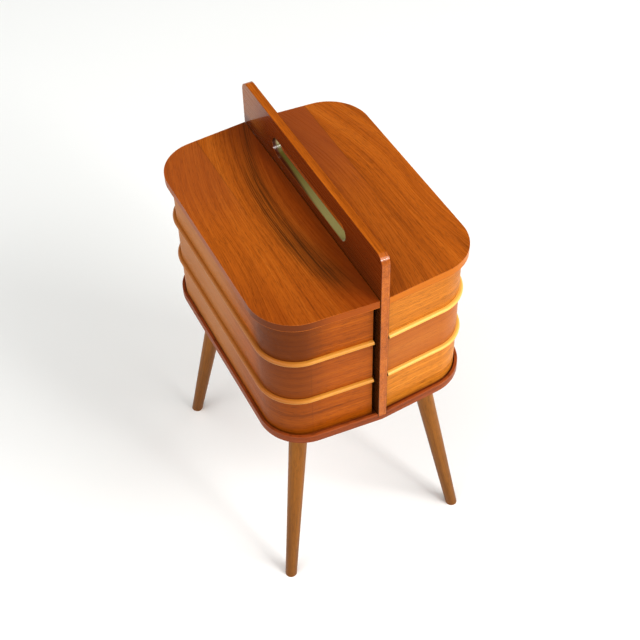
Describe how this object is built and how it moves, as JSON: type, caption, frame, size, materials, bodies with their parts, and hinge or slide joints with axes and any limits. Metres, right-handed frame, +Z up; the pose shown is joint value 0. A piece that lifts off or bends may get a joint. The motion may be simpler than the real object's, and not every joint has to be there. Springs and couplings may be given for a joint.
{
  "type": "sewing box with trays",
  "caption": "Free-standing wooden sewing box: slotted carrying board between two hinged lids, stacked swivelling trays with grip strips, lipped base and splayed tapered legs.",
  "frame": {"origin": "on the floor, under the middle of the centre board", "axes": "+Z up, +X to the box's right, -Y its front; the centre board lies in the YZ plane"},
  "size_m": [0.312, 0.4084, 0.627],
  "materials": {
    "teak_lid": "satin teak veneer, lacquered",
    "teak_wall": "satin teak veneer on bent plywood, lacquered",
    "teak_board": "satin solid teak, lacquered",
    "teak_base": "satin teak, lacquered",
    "honey_beech": "satin light beech, lacquered",
    "leg_beech": "satin stained beech, lacquered",
    "tray_beech": "plain beech and birch plywood",
    "brass": "dull brass",
    "bright_steel": "drawn steel",
    "zinc_steel": "zinc-plated steel",
    "black_steel": "black lacquered steel"
  },
  "bodies": {
    "stand": {"base_plate": "teak_base", "lip_left": "teak_base", "lip_right": "teak_base", "centre_board": "teak_board", "board_screws": "zinc_steel", "leg_front_left": "leg_beech", "leg_front_right": "leg_beech", "leg_back_left": "leg_beech", "leg_back_right": "leg_beech", "leg_plate_front_left": "black_steel", "leg_plate_front_right": "black_steel", "leg_plate_back_left": "black_steel", "leg_plate_back_right": "black_steel", "leg_studs": "zinc_steel", "leg_plate_screws": "zinc_steel", "bottom_tray_wall_left": "teak_wall", "bottom_tray_inner_wall_left": "tray_beech", "bottom_tray_floor_left": "tray_beech", "bottom_tray_block_left": "tray_beech", "bottom_tray_wall_right": "teak_wall", "bottom_tray_inner_wall_right": "tray_beech", "bottom_tray_floor_right": "tray_beech", "bottom_tray_block_right": "tray_beech", "bottom_tray_screws": "zinc_steel", "pivot_rod_left": "bright_steel", "rod_cap_left": "brass", "rod_washers_left": "brass", "pivot_rod_right": "bright_steel", "rod_cap_right": "brass", "rod_washers_right": "brass"},
    "left_middle_tray": {"middle_tray_wall_left": "teak_wall", "middle_tray_inner_wall_left": "tray_beech", "middle_tray_floor_left": "tray_beech", "middle_tray_block_left": "tray_beech", "middle_tray_strip_left": "honey_beech"},
    "right_middle_tray": {"middle_tray_wall_right": "teak_wall", "middle_tray_inner_wall_right": "tray_beech", "middle_tray_floor_right": "tray_beech", "middle_tray_block_right": "tray_beech", "middle_tray_strip_right": "honey_beech"},
    "left_top_tray": {"top_tray_wall_left": "teak_wall", "top_tray_inner_wall_left": "tray_beech", "top_tray_floor_left": "tray_beech", "top_tray_block_left": "tray_beech", "top_tray_strip_left": "honey_beech"},
    "right_top_tray": {"top_tray_wall_right": "teak_wall", "top_tray_inner_wall_right": "tray_beech", "top_tray_floor_right": "tray_beech", "top_tray_block_right": "tray_beech", "top_tray_strip_right": "honey_beech"},
    "left_lid": {"lid_left": "teak_lid", "hinge_hooks_left": "brass", "hinge_screws_left": "brass"},
    "right_lid": {"lid_right": "teak_lid", "hinge_hooks_right": "brass", "hinge_screws_right": "brass"}
  },
  "joints": [
    {"name": "left_lid_hinge", "type": "hinge", "parent": "stand", "child": "left_lid", "pos_m": [-0.0064, 0, 0.554], "axis": [0, 1, 0], "range_deg": [0, 90]},
    {"name": "right_lid_hinge", "type": "hinge", "parent": "stand", "child": "right_lid", "pos_m": [0.0064, 0, 0.554], "axis": [0, -1, 0], "range_deg": [0, 90]},
    {"name": "left_top_swivel", "type": "hinge", "parent": "stand", "child": "left_top_tray", "pos_m": [-0.024, 0.18158, 0.505], "axis": [0, 0, -1], "range_deg": [0, 90]},
    {"name": "right_top_swivel", "type": "hinge", "parent": "stand", "child": "right_top_tray", "pos_m": [0.024, 0.18158, 0.505], "axis": [0, 0, 1], "range_deg": [0, 90]},
    {"name": "left_middle_swivel", "type": "hinge", "parent": "stand", "child": "left_middle_tray", "pos_m": [-0.024, 0.18158, 0.431], "axis": [0, 0, -1], "range_deg": [0, 90]},
    {"name": "right_middle_swivel", "type": "hinge", "parent": "stand", "child": "right_middle_tray", "pos_m": [0.024, 0.18158, 0.431], "axis": [0, 0, 1], "range_deg": [0, 90]}
  ]
}
